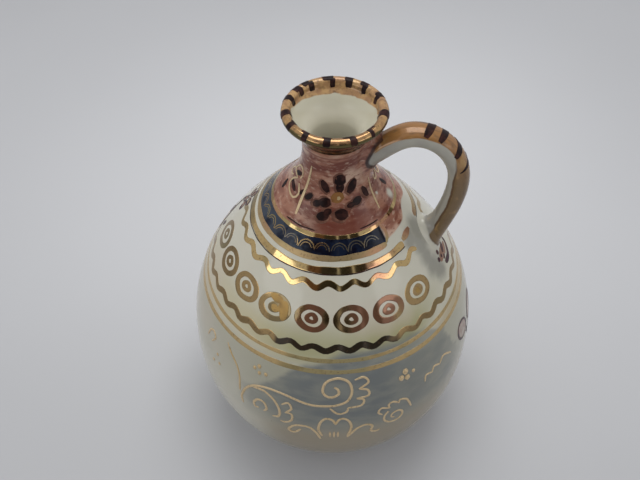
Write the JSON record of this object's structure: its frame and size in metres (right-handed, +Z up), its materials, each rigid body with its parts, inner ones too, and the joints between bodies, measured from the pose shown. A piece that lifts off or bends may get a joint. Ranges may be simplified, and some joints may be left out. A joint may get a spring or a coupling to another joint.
{
  "type": "ceramic jug",
  "caption": "Small round-bellied glazed ceramic jug with a narrow flared neck, a beaded lip and one loop handle from neck to shoulder, for pouring.",
  "frame": {"origin": "on the ground, under the middle of the foot ring", "axes": "+Z up along the jug's turning axis, +X towards the handle"},
  "size_m": [0.13, 0.13, 0.184],
  "materials": {
    "bare_clay": "unglazed, worn smooth",
    "belly_glaze": "glossy off-white glaze with blue-grey wash and gold lustre ornament",
    "neck_glaze": "glossy streaked plum wash with dark flowers and gold lines",
    "lip_lustre": "gold lustre with dark brush stripes, off-white inside",
    "handle_glaze": "glossy off-white glaze, gold lustre on the outer face"
  },
  "bodies": {
    "root": {"foot_ring": "bare_clay", "body": "belly_glaze", "neck": "neck_glaze", "mouth_rim": "lip_lustre", "handle": "handle_glaze", "handle_top_joint": "handle_glaze", "handle_foot_joint": "handle_glaze"}
  },
  "joints": []
}
